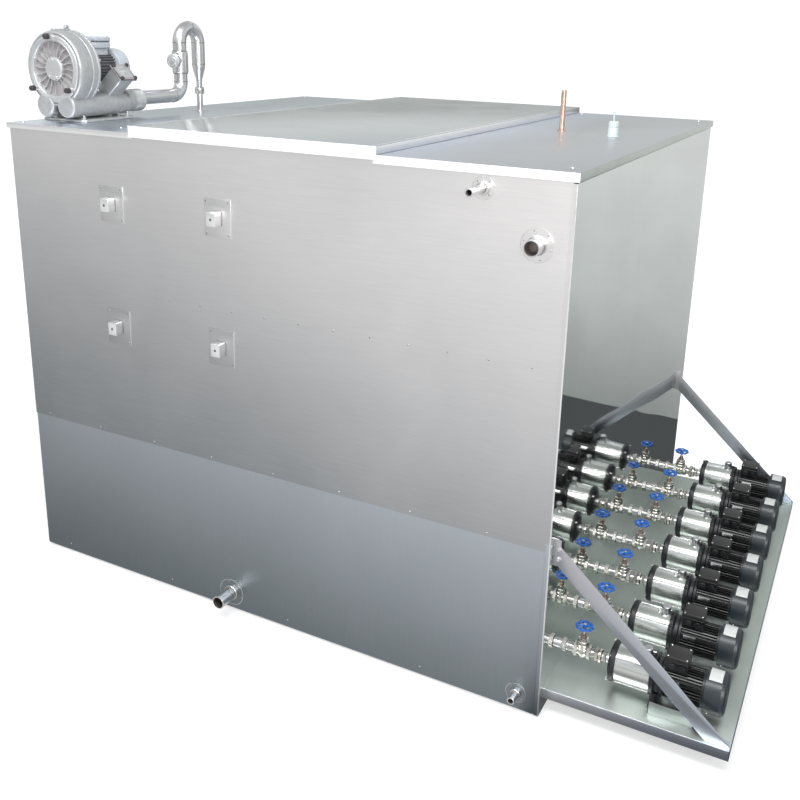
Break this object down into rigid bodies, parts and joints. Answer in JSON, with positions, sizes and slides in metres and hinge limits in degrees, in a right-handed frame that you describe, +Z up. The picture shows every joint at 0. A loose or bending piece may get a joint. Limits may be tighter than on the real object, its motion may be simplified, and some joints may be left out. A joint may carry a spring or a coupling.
{
  "type": "bulk milk tank",
  "caption": "Insulated stainless ice-water tank for milk cooling, with circulation pumps on an end shelf, wall nozzles, a lift-off cover and a deck-mounted agitation blower.",
  "frame": {"origin": "the middle of the whole object's footprint, on the floor", "axes": "+X along the tank from the blower end to the pump end, +Y from the nozzle face to the back, +Z up"},
  "size_m": [2.3675, 1.7984, 1.8222],
  "materials": {
    "satin_stainless": "satin",
    "polished_stainless": "polished",
    "shelf_steel": "satin",
    "valve_steel": "satin",
    "rotor_steel": "satin",
    "grey_casting": "satin",
    "black_paint": "satin",
    "blue_handwheel": "gloss",
    "insulation_foam": "matte",
    "copper_tube": "satin",
    "white_plastic": "satin"
  },
  "bodies": {
    "tank": {"air_manifold": "satin_stainless", "base_frame": "satin_stainless", "blower_base": "satin_stainless", "blower_casing": "grey_casting", "blower_cover": "grey_casting", "blower_motor": "black_paint", "drain_nozzle": "satin_stainless", "evaporator_coil": "copper_tube", "far_strut": "satin_stainless", "filling_nozzle": "satin_stainless", "gate_valve_1": "valve_steel", "gate_valve_2": "valve_steel", "gate_valve_3": "valve_steel", "gate_valve_4": "valve_steel", "gate_valve_5": "valve_steel", "gate_valve_6": "valve_steel", "gate_valve_7": "valve_steel", "inner_tank": "satin_stainless", "insulation": "insulation_foam", "left_deck": "satin_stainless", "level_sensor": "white_plastic", "lower_skin": "satin_stainless", "motor_1": "black_paint", "motor_2": "black_paint", "motor_3": "black_paint", "motor_4": "black_paint", "motor_5": "black_paint", "motor_6": "black_paint", "motor_7": "black_paint", "near_strut": "satin_stainless", "overflow_nozzle": "satin_stainless", "pump_1": "polished_stainless", "pump_2": "polished_stainless", "pump_3": "polished_stainless", "pump_4": "polished_stainless", "pump_5": "polished_stainless", "pump_6": "polished_stainless", "pump_7": "polished_stainless", "pump_end_panel": "polished_stainless", "pump_shelf": "shelf_steel", "return_nozzle": "satin_stainless", "right_deck": "satin_stainless", "riser_pipe": "satin_stainless", "upper_skin": "satin_stainless"},
    "cover": {"centre_cover": "satin_stainless"},
    "wheel_1": {"handwheel_1": "blue_handwheel"},
    "wheel_2": {"handwheel_2": "blue_handwheel"},
    "wheel_3": {"handwheel_3": "blue_handwheel"},
    "wheel_4": {"handwheel_4": "blue_handwheel"},
    "wheel_5": {"handwheel_5": "blue_handwheel"},
    "wheel_6": {"handwheel_6": "blue_handwheel"},
    "wheel_7": {"handwheel_7": "blue_handwheel"},
    "pump_rotor_1": {"rotor_1": "rotor_steel"},
    "pump_rotor_2": {"rotor_2": "rotor_steel"},
    "pump_rotor_3": {"rotor_3": "rotor_steel"},
    "pump_rotor_4": {"rotor_4": "rotor_steel"},
    "pump_rotor_5": {"rotor_5": "rotor_steel"},
    "pump_rotor_6": {"rotor_6": "rotor_steel"},
    "pump_rotor_7": {"rotor_7": "rotor_steel"},
    "blower_impeller": {"blower_rotor": "grey_casting"}
  },
  "joints": [
    {"name": "cover_lift", "type": "slide", "parent": "tank", "child": "cover", "axis": [0, 0, 1], "range_m": [0, 0.4]},
    {"name": "wheel_1_turn", "type": "hinge", "parent": "tank", "child": "wheel_1", "pos_m": [0.76375, -0.66925, 0.235], "axis": [0, 0, 1], "range_deg": [-1440, 0]},
    {"name": "wheel_2_turn", "type": "hinge", "parent": "tank", "child": "wheel_2", "pos_m": [0.76375, -0.45185, 0.235], "axis": [0, 0, 1], "range_deg": [-1440, 0]},
    {"name": "wheel_3_turn", "type": "hinge", "parent": "tank", "child": "wheel_3", "pos_m": [0.76375, -0.23445, 0.235], "axis": [0, 0, 1], "range_deg": [-1440, 0]},
    {"name": "wheel_4_turn", "type": "hinge", "parent": "tank", "child": "wheel_4", "pos_m": [0.76375, -0.01705, 0.235], "axis": [0, 0, 1], "range_deg": [-1440, 0]},
    {"name": "wheel_5_turn", "type": "hinge", "parent": "tank", "child": "wheel_5", "pos_m": [0.76375, 0.20035, 0.235], "axis": [0, 0, 1], "range_deg": [-1440, 0]},
    {"name": "wheel_6_turn", "type": "hinge", "parent": "tank", "child": "wheel_6", "pos_m": [0.76375, 0.41775, 0.235], "axis": [0, 0, 1], "range_deg": [-1440, 0]},
    {"name": "wheel_7_turn", "type": "hinge", "parent": "tank", "child": "wheel_7", "pos_m": [0.76375, 0.63515, 0.235], "axis": [0, 0, 1], "range_deg": [-1440, 0]},
    {"name": "pump_1_spin", "type": "hinge", "parent": "tank", "child": "pump_rotor_1", "pos_m": [0.98375, -0.66925, 0.158], "axis": [1, 0, 0], "continuous": true},
    {"name": "pump_2_spin", "type": "hinge", "parent": "tank", "child": "pump_rotor_2", "pos_m": [0.98375, -0.45185, 0.158], "axis": [1, 0, 0], "continuous": true},
    {"name": "pump_3_spin", "type": "hinge", "parent": "tank", "child": "pump_rotor_3", "pos_m": [0.98375, -0.23445, 0.158], "axis": [1, 0, 0], "continuous": true},
    {"name": "pump_4_spin", "type": "hinge", "parent": "tank", "child": "pump_rotor_4", "pos_m": [0.98375, -0.01705, 0.158], "axis": [1, 0, 0], "continuous": true},
    {"name": "pump_5_spin", "type": "hinge", "parent": "tank", "child": "pump_rotor_5", "pos_m": [0.98375, 0.20035, 0.158], "axis": [1, 0, 0], "continuous": true},
    {"name": "pump_6_spin", "type": "hinge", "parent": "tank", "child": "pump_rotor_6", "pos_m": [0.98375, 0.41775, 0.158], "axis": [1, 0, 0], "continuous": true},
    {"name": "pump_7_spin", "type": "hinge", "parent": "tank", "child": "pump_rotor_7", "pos_m": [0.98375, 0.63515, 0.158], "axis": [1, 0, 0], "continuous": true},
    {"name": "blower_spin", "type": "hinge", "parent": "tank", "child": "blower_impeller", "pos_m": [-1.06525, -0.53925, 1.665], "axis": [0, 1, 0], "continuous": true}
  ]
}
